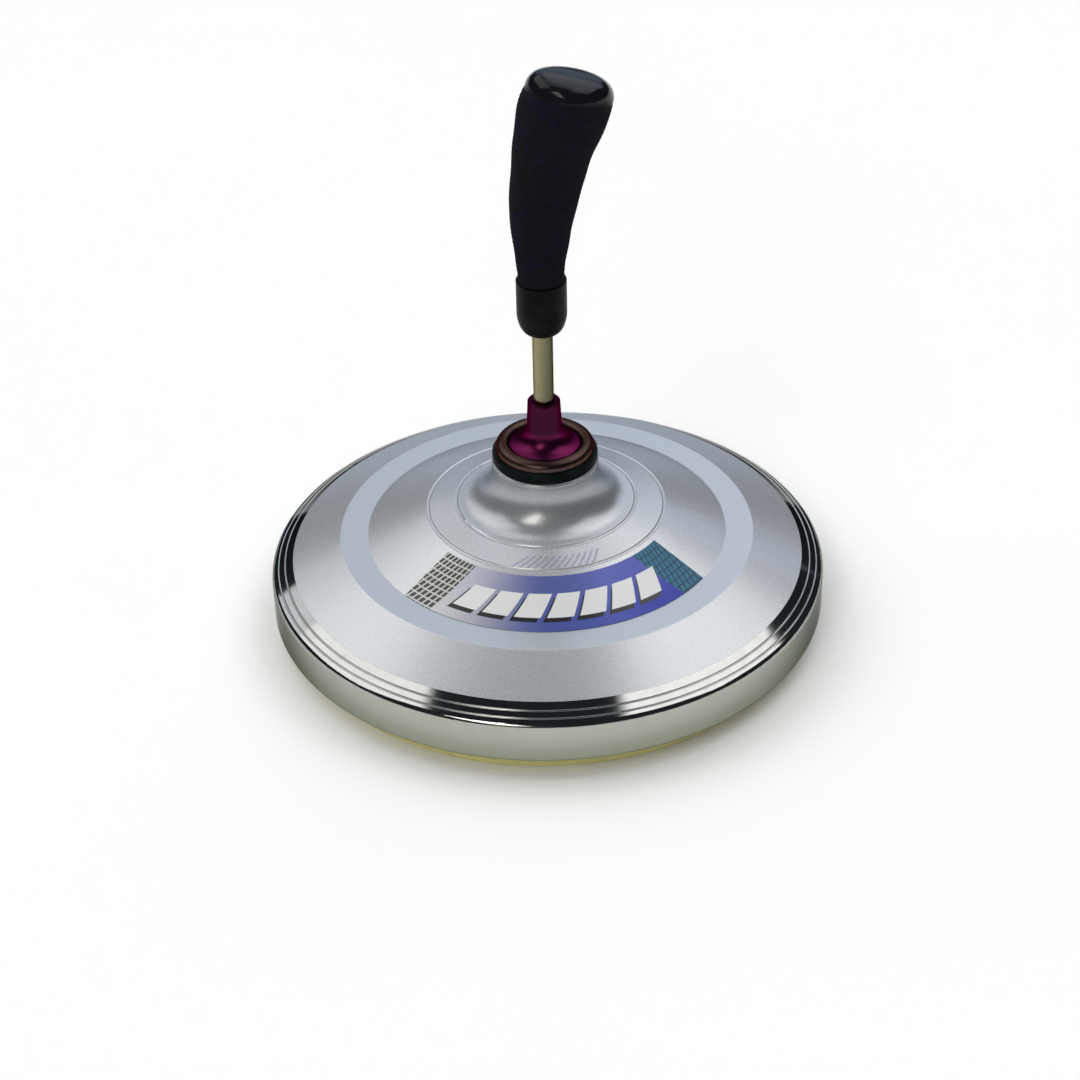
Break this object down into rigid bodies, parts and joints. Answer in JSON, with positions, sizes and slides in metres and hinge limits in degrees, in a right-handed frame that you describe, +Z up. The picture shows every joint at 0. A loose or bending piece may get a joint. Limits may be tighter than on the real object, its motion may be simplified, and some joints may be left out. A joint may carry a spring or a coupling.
{
  "type": "ice stock",
  "caption": "Round ice stock: a bell-shaped body with a steel ring, clamped onto a flat running sole by a tall screwed handle with a leaning grip.",
  "frame": {"origin": "on the axis, on the underside of the running sole", "axes": "+Z up along the handle, +X the way the top of the grip leans, the printed foil faces -Y"},
  "size_m": [0.28, 0.28, 0.2976],
  "materials": {
    "sole_rubber": "moulded running surface, olive yellow",
    "sole_plate": "stiff moulded plate, olive",
    "insert_brass": "turned brass",
    "screw_steel": "zinc-plated steel",
    "ring_chrome": "polished and chrome-plated steel",
    "hood_silver": "pressed aluminium with satin silver paint",
    "core_plastic": "ribbed moulded plastic",
    "damping_rubber": "soft black rubber",
    "base_plastic": "moulded plastic cover",
    "bush_steel": "turned steel",
    "label_print": "printed foil: silver to blue, with hatched ends",
    "black_rubber": "smooth black rubber",
    "ring_bronze": "dark polished bronze",
    "cone_anodised": "dark magenta anodised aluminium",
    "rod_nickel": "nickel-plated steel, pale champagne",
    "pin_steel": "ground steel",
    "grip_plastic": "moulded plastic",
    "sleeve_fabric": "rough knitted textile, black and navy",
    "collar_rubber": "smooth black rubber",
    "cap_gloss": "glossy black plastic"
  },
  "bodies": {
    "sole": {"sole_tread": "sole_rubber", "sole_carrier": "sole_plate", "sole_insert": "insert_brass", "sole_screws": "screw_steel"},
    "stock": {"steel_ring": "ring_chrome", "hood": "hood_silver", "stock_core": "core_plastic", "damping_ring": "damping_rubber", "base_plate": "base_plastic", "base_screws": "screw_steel", "hub_bush": "bush_steel", "bush_washer": "bush_steel", "bush_nut": "bush_steel", "label_foil": "label_print", "rubber_washer": "black_rubber", "thrust_ring": "ring_bronze"},
    "handle": {"flange_cone": "cone_anodised", "rod_pin": "pin_steel", "handle_rod": "rod_nickel", "grip_core": "grip_plastic", "grip_pin": "pin_steel", "grip_sleeve": "sleeve_fabric", "grip_collar": "collar_rubber", "top_cap": "cap_gloss"}
  },
  "joints": [
    {"name": "stock_lift", "type": "slide", "parent": "sole", "child": "stock", "axis": [0, 0, 1], "range_m": [0, 0.014]},
    {"name": "handle_turn", "type": "hinge", "parent": "stock", "child": "handle", "pos_m": [0, 0, 0.0996], "axis": [0, 0, 1], "range_deg": [0, 3330]}
  ],
  "couplings": [
    {"joint": "stock_lift", "follows": "handle_turn", "m_per_rad": 0.00023873}
  ]
}
